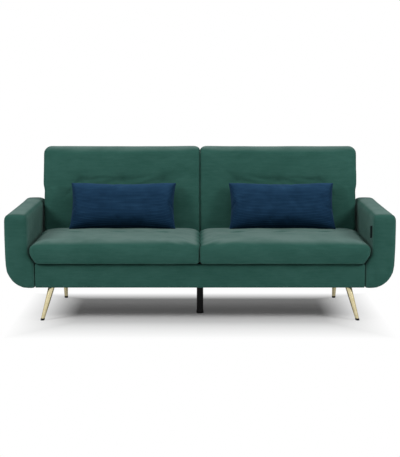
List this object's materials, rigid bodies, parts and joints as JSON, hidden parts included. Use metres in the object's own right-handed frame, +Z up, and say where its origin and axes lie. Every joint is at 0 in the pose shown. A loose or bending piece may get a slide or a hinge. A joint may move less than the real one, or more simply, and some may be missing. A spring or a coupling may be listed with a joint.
{
  "type": "futon sofa bed",
  "caption": "Click-clack futon sofa bed in green velvet: padded arms, a tufted split back that reclines flat, tufted seat, splayed brass legs and loose navy pillows.",
  "frame": {"origin": "middle of the footprint, on the floor", "axes": "+X to the sofa's right as seen from the front, -Y to the front, +Z up"},
  "size_m": [1.97, 0.7952, 0.8339],
  "materials": {
    "velvet": "matte",
    "navy_weave": "matte",
    "timber": "matte",
    "dark_timber": "matte",
    "spring_steel": "satin",
    "zinc_steel": "satin",
    "brass": "satin",
    "black_plastic": "matte",
    "black_felt": "matte"
  },
  "bodies": {
    "base": {"arm_bolt_left_front": "zinc_steel", "arm_bolt_left_rear": "zinc_steel", "arm_bolt_right_front": "zinc_steel", "arm_bolt_right_rear": "zinc_steel", "arm_frame_left": "timber", "arm_frame_right": "timber", "arm_pad_left": "velvet", "arm_pad_right": "velvet", "centre_beam": "timber", "centre_leg": "black_plastic", "centre_leg_plate": "zinc_steel", "dust_cover": "black_felt", "front_rail": "timber", "front_rail_cover": "velvet", "hinge_pin_left_inner": "zinc_steel", "hinge_pin_left_outer": "zinc_steel", "hinge_pin_right_inner": "zinc_steel", "hinge_pin_right_outer": "zinc_steel", "hinge_plate_left_inner": "zinc_steel", "hinge_plate_left_outer": "zinc_steel", "hinge_plate_right_inner": "zinc_steel", "hinge_plate_right_outer": "zinc_steel", "leg_front_left": "brass", "leg_front_right": "brass", "leg_glide_front_left": "black_plastic", "leg_glide_front_right": "black_plastic", "leg_glide_rear_left": "black_plastic", "leg_glide_rear_right": "black_plastic", "leg_plate_front_left": "zinc_steel", "leg_plate_front_right": "zinc_steel", "leg_plate_rear_left": "zinc_steel", "leg_plate_rear_right": "zinc_steel", "leg_rear_left": "brass", "leg_rear_right": "brass", "rear_rail": "dark_timber", "seat_cushion_left": "velvet", "seat_cushion_right": "velvet", "seat_spring_left_1": "spring_steel", "seat_spring_left_2": "spring_steel", "seat_spring_left_3": "spring_steel", "seat_spring_right_1": "spring_steel", "seat_spring_right_2": "spring_steel", "seat_spring_right_3": "spring_steel", "side_rail_left": "timber", "side_rail_right": "timber", "spring_rail": "timber"},
    "back_left": {"back_cushion_left": "velvet", "back_frame_left": "timber", "hinge_pawl_left_inner": "zinc_steel", "hinge_pawl_left_outer": "zinc_steel", "hinge_strap_left_inner": "zinc_steel", "hinge_strap_left_outer": "zinc_steel"},
    "back_right": {"back_cushion_right": "velvet", "back_frame_right": "timber", "hinge_pawl_right_inner": "zinc_steel", "hinge_pawl_right_outer": "zinc_steel", "hinge_strap_right_inner": "zinc_steel", "hinge_strap_right_outer": "zinc_steel"},
    "pillow_left": {"pillow_left": "navy_weave"},
    "pillow_right": {"pillow_right": "navy_weave"}
  },
  "joints": [
    {"name": "back_left_recline", "type": "hinge", "parent": "base", "child": "back_left", "pos_m": [-0.42, 0.21165, 0.315], "axis": [-1, 0, 0], "range_deg": [0, 73]},
    {"name": "back_right_recline", "type": "hinge", "parent": "base", "child": "back_right", "pos_m": [0.42, 0.21165, 0.315], "axis": [-1, 0, 0], "range_deg": [0, 73]},
    {"name": "pillow_left_lift", "type": "slide", "parent": "base", "child": "pillow_left", "axis": [0, 0, 1], "range_m": [0, 0.45]},
    {"name": "pillow_right_lift", "type": "slide", "parent": "base", "child": "pillow_right", "axis": [0, 0, 1], "range_m": [0, 0.45]}
  ]
}
